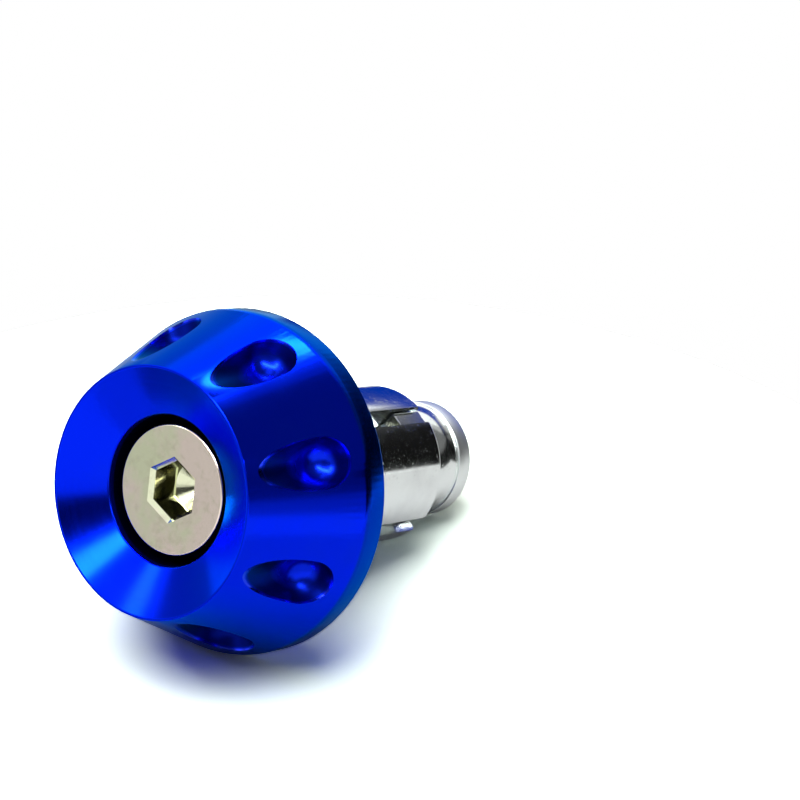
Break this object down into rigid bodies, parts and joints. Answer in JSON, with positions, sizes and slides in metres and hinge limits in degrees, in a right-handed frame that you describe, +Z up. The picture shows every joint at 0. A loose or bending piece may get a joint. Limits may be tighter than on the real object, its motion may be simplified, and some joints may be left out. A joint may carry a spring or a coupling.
{
  "type": "bar end weight",
  "caption": "Blue anodised bar end weight: a dimpled, dished cone with a socket bolt that pulls a cone nut into a slotted sleeve and clamps it inside a handlebar.",
  "frame": {"origin": "centre of the head's seat, the flat ring that meets the end of the grip", "axes": "+Y along the bar, from the head into the bar; the head's dished front faces -Y; +Z up"},
  "size_m": [0.035, 0.0503, 0.035],
  "materials": {
    "blue_anodised": "bright blue anodised, fine turning marks",
    "bolt_plating": "satin plated steel, faintly yellow",
    "sleeve_polished": "bright turned and plated",
    "nut_polished": "bright turned and plated"
  },
  "bodies": {
    "weight": {"head": "blue_anodised", "expander_sleeve": "sleeve_polished"},
    "bolt": {"clamp_bolt": "bolt_plating"},
    "nut": {"cone_nut": "nut_polished"}
  },
  "joints": [
    {"name": "bolt_turn", "type": "hinge", "parent": "weight", "child": "bolt", "pos_m": [0, 0, 0], "axis": [0, 1, 0], "range_deg": [-1008, 0]},
    {"name": "nut_travel", "type": "slide", "parent": "weight", "child": "nut", "axis": [0, 1, 0], "range_m": [0, 0.0035]}
  ],
  "couplings": [
    {"joint": "nut_travel", "follows": "bolt_turn", "m_per_rad": -0.00019894}
  ]
}
